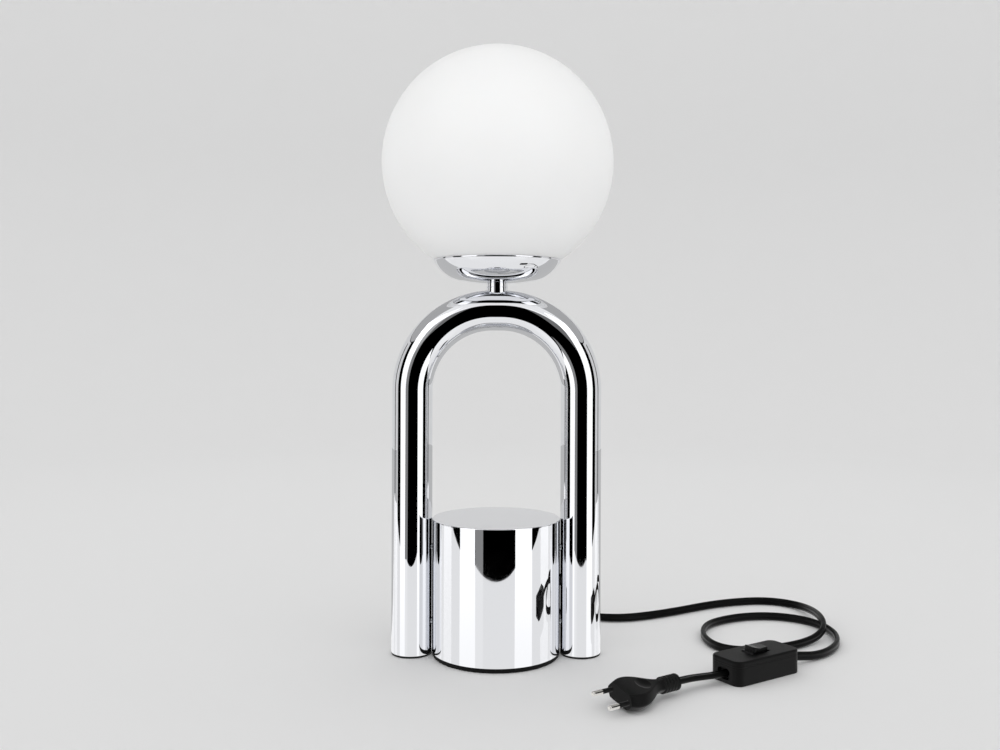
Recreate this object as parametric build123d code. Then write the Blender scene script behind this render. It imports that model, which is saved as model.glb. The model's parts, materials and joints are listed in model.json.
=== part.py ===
from build123d import *

import os
from math import asin, atan2, cos, degrees, pi, radians, sin, sqrt, tan

# Table lamp: an arch of bright tube clasps a weighted drum, a spun cup on the arch carries a glass globe.
# Millimetres. The origin is on the floor under the globe, +Z is up and +Y points to the lamp's back.

# Fits
touch_gap = 0.05        # pressed, brazed and clamped faces
thread_gap = 0.05       # a screw in its thread, each side
slip_gap = 0.3          # faces that turn or slide past each other
cut_over = 1.0          # how far a cutting body runs past the face it opens

# Drum
drum_d = 110.8
drum_h = 113.6
drum_wall = 1.2
drum_edge_r = 0.6
pad_h = 4.0
pad_inset = 0.6
plate_t = 2.0
base_ring_h = 6.0
base_ring_w = 9.0
base_screw_d = 4.0
base_screw_head_d = 7.4
base_screw_head_h = 1.7
base_screw_count = 4
weight_d = 88.0
weight_h = 34.0
weight_edge_r = 2.0
weight_slot_w = 24.0
weight_slot_y = 25.0
weight_bolt_d = 8.0
weight_bolt_head_d = 11.4
weight_bolt_grip = 20.0

# Arch
tube_d = 35.0
tube_wall = 1.5
leg_gap = 0.3           # drum side to leg
leg_h = 226.1           # straight part of a leg
bend_r = 69.5
foot_h = 1.9
foot_inset = 0.3
foot_edge_r = 0.6
foot_spigot_h = 10.0
foot_spigot_wall = 2.5

# Drum to leg fixings
leg_bolt_d = 6.0
leg_bolt_head_d = 10.5
leg_bolt_head_h = 3.3
leg_bolt_socket_w = 4.0
leg_bolt_socket_depth = 2.0
leg_bolt_low_z = 28.0
leg_bolt_high_z = 92.0
rivet_nut_d = 9.0
rivet_nut_len = 13.0
rivet_bulge_d = 13.0
rivet_bulge_len = 4.0
bush_d = 10.0
bush_flange_d = 15.0
bush_flange_t = 2.0
bush_z = 64.0

# Stem
boss_d = 18.5
boss_rise = 2.4
boss_spigot_d = 12.8
boss_spigot_len = 3.0
stem_chamfer = 0.4
collar_h = 2.86
nipple_d = 10.0
nipple_bore = 7.0
nipple_grip = 3.0       # nipple into the lampholder

# Cup
cup_rim_r = 55.95
cup_wall = 0.8
cup_lip_angle = 26.0    # rim wall from the vertical
cup_shoulder_r = 34.0
cup_dish_r = 175.0
cup_seat_r = 12.0
washer_d = 24.0
washer_t = 1.2
lock_nut_w = 14.0
lock_nut_h = 3.5
gallery_w = 4.5
gallery_h = 6.0
gallery_gap = 0.6       # gallery's top below the glass

# Globe
globe_d = 200.0
glass_t = 3.0
neck_d = 82.0
gasket_h = 1.6          # under the neck's outer edge
gasket_w = 3.4

# Lampholder and bulb, E27
holder_d = 39.0
holder_base_h = 14.0
holder_floor_t = 4.0
holder_wall = 3.0
holder_ledge = 1.8
holder_draft = 1.5      # base and sleeve widen by this towards their joint
contact_block_h = 7.0
contact_block_sink = 3.0
contact_d = 9.0
contact_rise = 4.5
contact_rivet_d = 4.0
screw_shell_d = 28.6
screw_shell_wall = 0.6
screw_shell_h = 26.0
sleeve_h = 36.0
sleeve_lip_t = 3.0
sleeve_mouth_d = 30.6
bulb_d = 60.0
bulb_len = 104.0
bulb_neck_d = 26.8
bulb_neck_len = 7.0
bulb_cap_d = 26.4
bulb_cap_h = 22.0
bulb_cap_wall = 0.8
bulb_wall = 1.0
bulb_insulator_h = 3.5
bulb_insulator_d = 22.0
bulb_contact_d = 9.0
bulb_contact_h = 1.5

# Wiring inside
lead_d = 5.0
lead_gap = 0.4
terminal_w = 22.0
terminal_l = 16.0
terminal_h = 12.0
terminal_y = 12.0
terminal_corner_r = 2.0
lead_bend_r = 8.0
lead_run = 20.0         # from the terminal block to the lead's first turn
lead_arch_r = 58.0

# Cord: flat twin flex 7.6 by 4.4, drawn as a round tube of the same section
cord_d = 6.1
cord_gap = 0.3
route_share = 0.45      # part of the shorter run that a corner's arc takes
gland_z = 20.0
gland_len = 20.0
gland_flange_d = 16.0
gland_flange_t = 3.0
gland_root_d = 12.5
gland_tip_d = 9.6
gland_neck_d = 9.8
gland_lip_d = 13.0
gland_lip_t = 2.0

# Supply cord on the floor, from the gland to the switch, with a low hump where it crosses itself
supply_route = [
    (0, 75.4, 20), (0, 93, 20), (8, 110.5, 16), (25, 121, 10), (47.5, 121, 5.9), (76, 109.5, 3.9),
    (108, 96, 3.9), (139.5, 101, 3.9), (182.5, 124.7, 3.9), (205.4, 140, 3.9), (228, 152, 3.9),
    (250.5, 160, 3.9), (270, 163.5, 3.9), (287, 160.5, 3.9), (300, 151, 4.1), (307, 138, 4.9),
    (309, 120, 7), (307.5, 97.5, 10.2), (305.4, 74.5, 12.3), (303.5, 58.5, 11.8), (300, 46, 9.4),
    (293, 36.5, 6.4), (282, 26, 4.4), (264, 12.5, 3.9), (240, 1.5, 3.9), (219, -3.6, 3.9),
    (206, -2.2, 3.9), (196.5, 4.5, 3.9), (191.3, 14.5, 3.9), (188.8, 26.5, 3.9), (188.4, 39, 3.9),
    (190.4, 52, 3.9), (195, 66, 3.9), (203, 79, 3.9), (217, 91, 3.9), (236, 101.5, 3.9), (255, 106, 3.9),
    (271.5, 105, 3.9), (285, 99.8, 3.9), (295, 92.5, 3.9), (302.2, 83, 3.9), (307.5, 71, 3.9),
    (310, 55, 3.9), (309, 38, 3.9), (303.5, 19.5, 3.9), (295, 4.5, 3.9), (283, -9.5, 3.9),
    (271, -18, 4.2), (261, -23.6, 5.7), (249.6, -29.5, 7.6), (236.2, -38.2, 7.6),
]

# Lead from the switch to the plug
lead_route = [(187.1, -70, 7.6), (174.5, -78.2, 7.6), (162.5, -84.9, 8.5), (149.3, -92.1, 9.3),
              (134.4, -103, 9.6)]

# Inline switch, lengthwise along its cord
switch_l = 72.5
switch_w = 32.0
switch_h = 19.5
switch_wall = 1.8
switch_end_wall = 6.0
switch_corner_r = 7.0
switch_edge_r = 1.6
switch_seam_z = 15.0
switch_seam_groove = 0.2
entry_w = 13.0
entry_h = 9.0
entry_depth = 3.0
entry_corner_r = 3.0
cord_grip = 7.0         # cord inside the switch's end
axle_d = 2.5
axle_drop = 5.0         # axle below the case's top
axle_fit = 0.05
ear_t = 1.8
rocker_l = 17.2
rocker_w = 12.0
rocker_r = 10.5         # round ends about the axle, inside the case
rocker_skirt = 20.0     # where the round ends begin, degrees above the axle
rocker_rise = 4.4       # ends above the case
rocker_dip = 1.1        # middle below the ends
rocker_taper = 4.0
rocker_corner_r = 2.5
rocker_edge_r = 0.6
rocker_throw = 5.0      # each way from level, degrees
rocker_tail = 4.0
boss_column_d = 6.4
case_screw_d = 2.5
case_screw_head_d = 4.6
case_screw_head_h = 2.0
case_screw_u = 20.0
case_screw_v = 9.5
contact_strip_w = 5.0
contact_strip_t = 0.6
contact_strip_l = 17.0
contact_strip_u = 15.0
contact_blade_h = 4.0

# Two-pin plug, lengthwise from the end of its strain relief to its face
plug_roll = 15.6
relief_d = 12.8
relief_groove_w = 1.4
relief_groove_depth = 1.3
relief_groove_start = 2.0
relief_groove_pitch = 3.3
relief_groove_count = 4
plug_grip = 5.0
plug_root = (14.5, 12.0, 11.6)       # place along the plug, width, thickness
plug_neck = (23.5, 13.4, 11.4)
plug_shoulder = (35.5, 26.5, 12.4)
plug_waist = (46.5, 33.4, 13.4)
plug_face = (58.0, 27.5, 12.4)
plug_bevel_share = 0.34              # side bevel over thickness
plug_corner_share = 0.16             # corner radius over thickness
dimple_r = 14.0
dimple_depth = 1.6
pin_d = 4.0
pin_len = 19.0
pin_spacing = 18.6
pin_root = 10.0
pin_tip_r = 1.2
sleeve_d = 3.6
sleeve_core_d = 3.0
sleeve_len = 10.0
sleeve_root = 2.0

# Places worked out from the sizes above
drum_r = drum_d / 2
drum_in_r = drum_r - drum_wall
drum_top_z = pad_h + drum_h
plate_top_z = pad_h + plate_t
ring_top_z = plate_top_z + base_ring_h
weight_top_z = plate_top_z + weight_h
terminal_z = weight_top_z + terminal_h / 2
tube_r = tube_d / 2
tube_in_r = tube_r - tube_wall
leg_x = drum_r + leg_gap + tube_r
spring_z = foot_h + leg_h
arch_axis_z = spring_z + bend_r
arch_top_z = arch_axis_z + tube_r
boss_top_z = arch_top_z + boss_rise
seat_z = boss_top_z + collar_h
shoulder_axis_r = cup_rim_r - cup_shoulder_r * cos(radians(cup_lip_angle))
shoulder_axis_h = cup_shoulder_r * sin(radians(cup_lip_angle))
dish_axis_h = shoulder_axis_h + sqrt((cup_dish_r - cup_shoulder_r) ** 2 - shoulder_axis_r ** 2)
rim_z = seat_z - dish_axis_h + sqrt(cup_dish_r ** 2 - cup_seat_r ** 2)
shoulder_axis_z = rim_z + shoulder_axis_h
dish_axis_z = rim_z + dish_axis_h
rim_in_r = shoulder_axis_r + sqrt((cup_shoulder_r - cup_wall) ** 2 - shoulder_axis_h ** 2)
globe_r = globe_d / 2
globe_z = rim_z + slip_gap + sqrt(globe_r ** 2 - rim_in_r ** 2)
neck_r = neck_d / 2
cup_floor_z = seat_z + cup_wall
holder_z = cup_floor_z + washer_t + lock_nut_h
contact_seat_z = holder_z + holder_base_h - contact_block_sink
contact_top_z = contact_seat_z + contact_block_h
bulb_z = contact_top_z + contact_rise + touch_gap
relief_l = plug_root[0]
plug_l = plug_face[0]


def disc(radius, low, high):
    """Upright solid cylinder on the lamp's axis."""
    return Pos(0, 0, low) * Cylinder(radius, high - low, align=(Align.CENTER, Align.CENTER, Align.MIN))


def ring(outer, inner, low, high):
    """Upright hollow cylinder on the lamp's axis."""
    return disc(outer, low, high) - disc(inner, low - cut_over, high + cut_over)


def rod(radius, start, end):
    """Cylinder between two points."""
    run = Vector(*end) - Vector(*start)
    return Plane(origin=start, z_dir=run) * Cylinder(
        radius, run.length, align=(Align.CENTER, Align.CENTER, Align.MIN))


def hexagon(width, low, high):
    """Upright hexagonal prism, measured across its flats."""
    return extrude(Pos(0, 0, low) * RegularPolygon(width / 2, 6, major_radius=False), high - low)


def turned(*corners):
    """Body of revolution about the lamp's axis from (radius, height) corners."""
    return revolve(make_face(Polyline(*[(r, 0, z) for r, z in corners], close=True)), Axis.Z)


def arc(center, radius, start, end):
    """Arc in the XZ plane between two angles, counted from +X towards +Z."""
    turn = [start, (start + end) / 2, end]
    points = [(center[0] + radius * cos(a), 0, center[1] + radius * sin(a)) for a in turn]
    return ThreePointArc(*points)


def closed_profile(*lines):
    """Body of revolution about the lamp's axis from joined lines and arcs."""
    return revolve(make_face(list(lines)), Axis.Z)


def around(count, radius):
    """Places evenly spaced on a circle, the first one at 45 degrees."""
    return PolarLocations(radius, count, start_angle=45)


# Drum


def leg_bolt_places():
    """Side and height of each drum to leg bolt."""
    return [(side, z) for side in (-1, 1) for z in (leg_bolt_low_z, leg_bolt_high_z)]


def drum_shell():
    """Drawn shell with a crisp top edge and holes for bolts, bush and gland."""
    outer = disc(drum_r, pad_h, drum_top_z)
    outer = fillet(outer.edges().sort_by(Axis.Z)[-1], drum_edge_r)
    shell = outer - disc(drum_in_r, pad_h - cut_over, drum_top_z - drum_wall)
    for side, z in leg_bolt_places():
        shell -= rod(leg_bolt_d / 2 + slip_gap, (0, 0, z), (side * leg_x, 0, z))
    shell -= rod(bush_d / 2 + touch_gap, (0, 0, bush_z), (leg_x, 0, bush_z))
    shell -= rod(gland_neck_d / 2 + touch_gap, (0, 0, gland_z), (0, leg_x, gland_z))
    return shell


def screw_circle_r():
    return drum_in_r - base_ring_w / 2


def countersunk(diameter, head_d, head_h, tip_z, gap=0):
    """Countersunk screw standing on the plate's lower face, or its hole with a gap."""
    head = Pos(0, 0, pad_h) * Cone(
        head_d / 2 + gap, diameter / 2 + gap, head_h + gap, align=(Align.CENTER, Align.CENTER, Align.MIN))
    return head + disc(diameter / 2 + gap, pad_h, tip_z)


def base_ring():
    blank = ring(drum_in_r - touch_gap, drum_in_r - base_ring_w, plate_top_z, ring_top_z)
    hole = disc(base_screw_d / 2 + thread_gap, plate_top_z - cut_over, ring_top_z + cut_over)
    for place in around(base_screw_count, screw_circle_r()):
        blank -= place * hole
    return blank


def base_plate():
    plate = disc(drum_in_r - slip_gap, pad_h, plate_top_z)
    screw_hole = countersunk(base_screw_d, base_screw_head_d, base_screw_head_h, ring_top_z, touch_gap)
    for place in around(base_screw_count, screw_circle_r()):
        plate -= place * screw_hole
    return plate - countersunk(weight_bolt_d, weight_bolt_head_d, base_screw_head_h, weight_top_z, touch_gap)


def base_screws():
    screw = countersunk(base_screw_d, base_screw_head_d, base_screw_head_h, ring_top_z - touch_gap)
    return Compound(children=[place * screw for place in around(base_screw_count, screw_circle_r())])


def base_pad():
    pad = disc(drum_r - pad_inset, 0, pad_h)
    return chamfer(pad.edges().sort_by(Axis.Z)[0], pad_inset)


def weight_bolt():
    return countersunk(weight_bolt_d, weight_bolt_head_d, base_screw_head_h, plate_top_z + weight_bolt_grip)


def counterweight():
    """Cast disc with a slot at the back, where the cord comes in."""
    casting = disc(weight_d / 2, plate_top_z, weight_top_z)
    casting = fillet(casting.edges().sort_by(Axis.Z)[-1], weight_edge_r)
    slot = Pos(0, weight_slot_y, plate_top_z) * Box(
        weight_slot_w, weight_d, 2 * weight_h, align=(Align.CENTER, Align.MIN, Align.CENTER))
    tapped_top = plate_top_z + weight_bolt_grip + slip_gap
    tapped = disc(weight_bolt_d / 2 + thread_gap, plate_top_z - cut_over, tapped_top)
    return casting - slot - tapped


def terminal_block():
    block = extrude(RectangleRounded(terminal_w, terminal_l, terminal_corner_r), terminal_h)
    block = chamfer(block.edges().group_by(Axis.Z)[-1], terminal_corner_r / 2)
    return Pos(0, terminal_y, weight_top_z) * block


def cord_gland():
    """Tapered strain relief, snapped into the drum's back wall."""
    tip_y = drum_r + gland_len
    flange_y = drum_r + gland_flange_t
    outside = rod(gland_flange_d / 2, (0, 0, gland_z), (0, flange_y, gland_z))
    taper = Plane(origin=(0, flange_y, gland_z), z_dir=(0, 1, 0)) * Cone(
        gland_root_d / 2, gland_tip_d / 2, tip_y - flange_y, align=(Align.CENTER, Align.CENTER, Align.MIN))
    outside = (outside + taper) - disc(drum_r + touch_gap, 0, drum_top_z)
    inner_y = drum_in_r - gland_lip_t
    lip = rod(gland_lip_d / 2, (0, inner_y, gland_z), (0, drum_r, gland_z))
    lip &= disc(drum_in_r - touch_gap, 0, drum_top_z)
    neck = rod(gland_neck_d / 2, (0, inner_y, gland_z), (0, flange_y, gland_z))
    bore = rod(cord_d / 2 + cord_gap, (0, 0, gland_z), (0, tip_y + cut_over, gland_z))
    return outside + lip + neck - bore


# Arch


def arch_bar(radius):
    """Solid bar along the arch's centre line, from floor end to floor end."""
    corners = [(-leg_x, 0, foot_h), (-leg_x, 0, arch_axis_z), (leg_x, 0, arch_axis_z), (leg_x, 0, foot_h)]
    path = FilletPolyline(*corners, radius=bend_r)
    return sweep(Plane(origin=corners[0], z_dir=(0, 0, 1)) * Circle(radius), path)


def leg_bar(side, radius):
    """Solid bar inside one leg, from the floor to the bend."""
    return Pos(side * leg_x, 0, 0) * disc(radius, 0, spring_z)


def arch_tube():
    tube = arch_bar(tube_r) - arch_bar(tube_in_r)
    for side, z in leg_bolt_places():
        tube -= rod(rivet_nut_d / 2 + touch_gap, (0, 0, z), (side * leg_x, 0, z))
    tube -= rod(bush_d / 2 + touch_gap, (0, 0, bush_z), (leg_x, 0, bush_z))
    return tube - disc(boss_spigot_d / 2 + touch_gap, arch_axis_z, boss_top_z)


def leg_foot(side):
    """Moulded glide: a thin disc on the floor and a hollow spigot in the tube."""
    sole = disc(tube_r - foot_inset, 0, foot_h)
    sole = fillet(sole.edges().sort_by(Axis.Z)[0], foot_edge_r)
    spigot_r = tube_in_r - touch_gap
    spigot = ring(spigot_r, spigot_r - foot_spigot_wall, foot_h, foot_h + foot_spigot_h)
    return Pos(side * leg_x, 0, 0) * (sole + spigot)


def leg_bolt(side, z):
    """Button head bolt whose head bears on the drum's curved inner wall."""
    seat_x = sqrt(drum_in_r ** 2 - (leg_bolt_head_d / 2) ** 2) - touch_gap
    head_x = seat_x - leg_bolt_head_h
    tip_x = leg_x - tube_r + rivet_nut_len
    head = rod(leg_bolt_head_d / 2, (head_x, 0, z), (seat_x, 0, z))
    head = fillet(head.edges().sort_by(Axis.X)[0], leg_bolt_head_h / 2)
    socket = Plane(origin=(head_x, 0, z), z_dir=(1, 0, 0)) * extrude(
        RegularPolygon(leg_bolt_socket_w / 2, 6, major_radius=False), leg_bolt_socket_depth)
    bolt = head - socket + rod(leg_bolt_d / 2, (seat_x, 0, z), (tip_x, 0, z))
    return bolt if side > 0 else mirror(bolt, about=Plane.YZ)


def leg_bolts():
    return Compound(children=[leg_bolt(side, z) for side, z in leg_bolt_places()])


def rivet_nut(side, z):
    """Blind nut set in a leg: flush outside, bulged behind the tube's wall."""
    wall_x = side * (leg_x - tube_r)
    tip_x = wall_x + side * rivet_nut_len
    bulge_x = wall_x + side * (tube_wall + rivet_bulge_len)
    sleeve = rod(rivet_nut_d / 2, (0, 0, z), (tip_x, 0, z)) & leg_bar(side, tube_r)
    bulge = rod(rivet_bulge_d / 2, (0, 0, z), (bulge_x, 0, z)) & leg_bar(side, tube_in_r - touch_gap)
    return sleeve + bulge - rod(leg_bolt_d / 2 + thread_gap, (0, 0, z), (side * leg_x, 0, z))


def leg_rivet_nuts():
    return Compound(children=[rivet_nut(side, z) for side, z in leg_bolt_places()])


def wire_bush():
    """Bush that carries the lead from the drum into the right leg."""
    inner_x = drum_in_r - bush_flange_t
    outer_x = leg_x - tube_in_r + bush_flange_t
    flange = rod(bush_flange_d / 2, (inner_x, 0, bush_z), (drum_r, 0, bush_z))
    flange &= disc(drum_in_r - touch_gap, 0, drum_top_z)
    body = rod(bush_d / 2, (inner_x, 0, bush_z), (outer_x, 0, bush_z))
    return flange + body - rod(lead_d / 2 + lead_gap, (0, 0, bush_z), (leg_x, 0, bush_z))


# Stem


def arch_boss():
    """Threaded boss coped to the tube, with a spigot through the tube's top wall."""
    boss = disc(boss_d / 2, arch_axis_z, boss_top_z)
    boss = chamfer(boss.edges().sort_by(Axis.Z)[-1], stem_chamfer)
    boss -= arch_bar(tube_r + touch_gap)
    boss += disc(boss_spigot_d / 2, arch_top_z - tube_wall - boss_spigot_len, boss_top_z - stem_chamfer)
    return boss - disc(nipple_d / 2 + thread_gap, arch_axis_z, boss_top_z + cut_over)


def stem_collar():
    collar = disc(boss_d / 2, boss_top_z, seat_z)
    collar = chamfer(collar.edges().sort_by(Axis.Z)[0], stem_chamfer)
    return collar - disc(nipple_d / 2 + slip_gap, boss_top_z - cut_over, seat_z + cut_over)


def threaded_nipple():
    low = arch_top_z - tube_wall - boss_spigot_len
    return ring(nipple_d / 2, nipple_bore / 2, low, holder_z + nipple_grip)


# Cup


def cup_bowl(inset):
    """Solid inside the cup's outer surface, moved in by an inset: flat seat, dish and rounded shoulder."""
    dish = cup_dish_r - inset
    shoulder = cup_shoulder_r - inset
    floor_z = seat_z + inset
    floor_r = sqrt(dish ** 2 - (dish_axis_z - floor_z) ** 2)
    tangent = asin(shoulder_axis_r / (cup_dish_r - cup_shoulder_r))
    quarter = radians(90)
    rim = asin(shoulder_axis_h / shoulder)
    rim_r = shoulder_axis_r + shoulder * cos(rim)
    return closed_profile(
        Line((0, 0, floor_z), (floor_r, 0, floor_z)),
        arc((0, dish_axis_z), dish, asin(floor_r / dish) - quarter, tangent - quarter),
        arc((shoulder_axis_r, shoulder_axis_z), shoulder, tangent - quarter, -rim),
        Line((rim_r, 0, rim_z), (0, 0, rim_z)),
        Line((0, 0, rim_z), (0, 0, floor_z)))


def cup_inside_z(radius):
    """Height of the cup's inner surface on its shoulder."""
    return shoulder_axis_z - sqrt((cup_shoulder_r - cup_wall) ** 2 - (radius - shoulder_axis_r) ** 2)


neck_low_z = cup_inside_z(neck_r) + gasket_h
gallery_top_z = globe_z - sqrt(globe_r ** 2 - neck_r ** 2) - gallery_gap


def globe_cup():
    cup = cup_bowl(0) - cup_bowl(cup_wall)
    return cup - disc(nipple_d / 2 + slip_gap, seat_z - cut_over, cup_floor_z + cut_over)


def cup_washer():
    return ring(washer_d / 2, nipple_d / 2 + slip_gap, cup_floor_z, cup_floor_z + washer_t)


def nipple_lock_nut():
    low = cup_floor_z + washer_t
    hole = disc(nipple_d / 2 + thread_gap, low - cut_over, holder_z + cut_over)
    return hexagon(lock_nut_w, low, holder_z) - hole


def gallery_ring():
    """Ring brazed into the cup, which takes the screw neck of the glass."""
    inner = neck_r + slip_gap
    blank = ring(inner + gallery_w, inner, gallery_top_z - gallery_h, gallery_top_z)
    return blank & cup_bowl(cup_wall + touch_gap)


# Globe


def glass_globe():
    """Blown sphere that runs down into a short round neck."""
    bore_r = neck_r - glass_t
    inner_r = globe_r - glass_t
    outer_low = -asin(sqrt(1 - (neck_r / globe_r) ** 2))
    inner_low = -asin(sqrt(1 - (bore_r / inner_r) ** 2))
    top = radians(90)
    outer_z = globe_z + globe_r * sin(outer_low)
    inner_z = globe_z + inner_r * sin(inner_low)
    return closed_profile(
        arc((0, globe_z), globe_r, top, outer_low),
        Line((neck_r, 0, outer_z), (neck_r, 0, neck_low_z)),
        Line((neck_r, 0, neck_low_z), (bore_r, 0, neck_low_z)),
        Line((bore_r, 0, neck_low_z), (bore_r, 0, inner_z)),
        arc((0, globe_z), inner_r, inner_low, top),
        Line((0, 0, globe_z + inner_r), (0, 0, globe_z + globe_r)))


def globe_gasket():
    blank = ring(neck_r, neck_r - gasket_w, cup_floor_z, neck_low_z)
    return blank & cup_bowl(cup_wall + slip_gap)


# Lampholder


def lampholder_base():
    """Cap that screws on the nipple, with a ledge for the contact block."""
    radius = holder_d / 2
    ledge_r = radius - holder_wall
    cavity_r = ledge_r - holder_ledge
    thread_r = nipple_d / 2 + thread_gap
    top = holder_z + holder_base_h
    return turned(
        (thread_r, holder_z), (radius - 2 * holder_draft, holder_z), (radius, top), (ledge_r, top),
        (ledge_r, contact_seat_z), (cavity_r, contact_seat_z), (cavity_r, holder_z + holder_floor_t),
        (thread_r, holder_z + holder_floor_t))


def lampholder_contact_block():
    block = disc(holder_d / 2 - holder_wall - touch_gap, contact_seat_z, contact_top_z)
    hole = disc(contact_rivet_d / 2 + touch_gap, contact_seat_z - cut_over, contact_top_z + cut_over)
    return block - hole


def lampholder_contact():
    """Centre contact: rivet, disc and a domed tongue that presses on the bulb."""
    half = contact_d / 2
    rivet = contact_rivet_d / 2
    tongue = contact_top_z + contact_rise
    return turned(
        (0, contact_seat_z), (rivet, contact_seat_z), (rivet, contact_top_z), (half, contact_top_z),
        (half, contact_top_z + contact_rise / 3), (rivet, tongue), (0, tongue))


def lampholder_screw_shell():
    outer = screw_shell_d / 2
    inner = outer - screw_shell_wall
    step = contact_top_z + screw_shell_wall
    lip = contact_d / 2 + contact_rise / 2
    top = contact_top_z + screw_shell_h
    return turned(
        (lip, contact_top_z), (outer, contact_top_z), (outer, top), (inner, top), (inner, step), (lip, step))


def lampholder_sleeve():
    """Outer sleeve on the base, turned in at its mouth."""
    radius = holder_d / 2
    low = holder_z + holder_base_h
    top = low + sleeve_h
    inner = radius - holder_wall + touch_gap
    mouth = sleeve_mouth_d / 2
    return turned(
        (inner, low), (radius, low), (radius - holder_draft / 2, top), (mouth, top),
        (mouth, top - sleeve_lip_t), (inner, top - sleeve_lip_t))


# Bulb


def bulb_contact():
    return disc(bulb_contact_d / 2, bulb_z, bulb_z + bulb_contact_h)


def bulb_insulator():
    low = bulb_z + bulb_contact_h
    high = low + bulb_insulator_h
    return turned((0, low), (bulb_contact_d / 2, low), (bulb_insulator_d / 2, high), (0, high))


def bulb_cap():
    """Thin cup that the glass neck is cemented on."""
    low = bulb_z + bulb_contact_h + bulb_insulator_h
    high = low + bulb_cap_h
    hollow = disc(bulb_cap_d / 2 - bulb_cap_wall, low + bulb_cap_wall, high + cut_over)
    return disc(bulb_cap_d / 2, low, high) - hollow


def bulb_glass():
    """Blown pear, open below: straight neck, hollow curve and round head, each tangent to the next."""
    low = bulb_z + bulb_contact_h + bulb_insulator_h + bulb_cap_h
    neck = bulb_neck_d / 2
    head = bulb_d / 2
    neck_top = low + bulb_neck_len
    head_z = bulb_z + bulb_len - head
    drop = head_z - neck_top
    hollow = (drop ** 2 + neck ** 2 - head ** 2) / (2 * (head - neck))
    meet = asin(drop / (head + hollow))
    bore = neck - bulb_wall
    back = radians(180)
    top = radians(90)
    return closed_profile(
        Line((bore, 0, low), (neck, 0, low)),
        Line((neck, 0, low), (neck, 0, neck_top)),
        arc((neck + hollow, neck_top), hollow, back, back - meet),
        arc((0, head_z), head, -meet, top),
        Line((0, 0, head_z + head), (0, 0, head_z + head - bulb_wall)),
        arc((0, head_z), head - bulb_wall, top, -meet),
        arc((neck + hollow, neck_top), hollow + bulb_wall, back - meet, back),
        Line((bore, 0, neck_top), (bore, 0, low)))


# Wiring


def bent_tube(diameter, points, radii):
    """Round tube along straight runs joined by arcs."""
    path = FilletPolyline(*points, radius=radii)
    start = Vector(*points[0])
    run = Vector(*points[1]) - start
    return sweep(Plane(origin=start, z_dir=run) * Circle(diameter / 2), path)


def inner_lead():
    """Lead from the terminal block through bush, leg and arch, up the nipple to the lampholder."""
    out_y = terminal_y - terminal_l / 2 - touch_gap
    turn_y = out_y - lead_run
    points = [
        (0, out_y, terminal_z), (0, turn_y, terminal_z), (0, turn_y, bush_z), (drum_r / 2, 0, bush_z),
        (leg_x, 0, bush_z), (leg_x, 0, arch_axis_z), (0, 0, arch_axis_z),
        (0, 0, contact_seat_z - touch_gap)]
    radii = [lead_bend_r, lead_bend_r, lead_bend_r, lead_bend_r, lead_arch_r, lead_bend_r]
    return bent_tube(lead_d, points, radii)


def cord_tail():
    """The supply cord's end inside the drum."""
    rise_y = weight_slot_y + lead_bend_r
    points = [
        (0, drum_r + gland_len - touch_gap, gland_z), (0, rise_y, gland_z), (0, rise_y, terminal_z),
        (0, terminal_y + terminal_l / 2 + touch_gap, terminal_z)]
    return bent_tube(cord_d, points, [lead_bend_r, lead_bend_r])


def route_radii(points):
    """Arc at each corner of a route, which takes the same share of its shorter run everywhere."""
    radii = []
    for before, corner, after in zip(points, points[1:], points[2:]):
        run_in = Vector(*corner) - Vector(*before)
        run_out = Vector(*after) - Vector(*corner)
        half_turn = radians(run_in.get_angle(run_out)) / 2
        radii.append(route_share * min(run_in.length, run_out.length) / tan(half_turn))
    return radii


def cord(name, points):
    """Free cord along its route, with its radii, length and volume printed."""
    radii = route_radii(points)
    tube = bent_tube(cord_d, points, radii)
    length = FilletPolyline(*points, radius=radii).length
    section = pi * cord_d ** 2 / 4
    print(name, "radii", [round(r) for r in radii])
    print(name, "length", round(length, 1), "volume over section times length",
          round(tube.volume / (section * length), 4))
    return tube


# Switch, modelled lengthwise along X with its centre over the origin


def run_heading(start, end):
    """Direction of a run on the floor, in degrees from +X."""
    run = Vector(*end) - Vector(*start)
    return degrees(atan2(run.Y, run.X))


def switch_place():
    """The switch lies in line with the last run of the supply cord."""
    end = Vector(*supply_route[-1])
    heading = run_heading(supply_route[-1], supply_route[-2])
    reach = switch_l / 2 - cord_grip
    away = Vector(cos(radians(heading)), sin(radians(heading)), 0) * reach
    return Pos(end.X - away.X, end.Y - away.Y, 0) * Rot(0, 0, heading)


def switch_block(low, high, inset=0.0, end_inset=0.0):
    """Rounded slab of the switch's outline, drawn in at its sides and ends."""
    corner = max(switch_corner_r - max(inset, end_inset), inset / 2 + touch_gap)
    outline = RectangleRounded(switch_l - 2 * end_inset, switch_w - 2 * inset, corner)
    return extrude(Pos(0, 0, low) * outline, high - low)


def entry_hole(side):
    """Recess in one end of the case, with the cord's hole behind it."""
    cord_z = supply_route[-1][2]
    end = side * switch_l / 2
    face = Plane(origin=(end - side * entry_depth, 0, cord_z), x_dir=(0, 1, 0), z_dir=(side, 0, 0))
    recess = extrude(face * RectangleRounded(entry_w, entry_h, entry_corner_r), 2 * entry_depth)
    return recess + rod(cord_d / 2 + cord_gap, (0, 0, cord_z), (end, 0, cord_z))


def column_places():
    return [Pos(case_screw_u, -case_screw_v, 0), Pos(-case_screw_u, case_screw_v, 0)]


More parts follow.
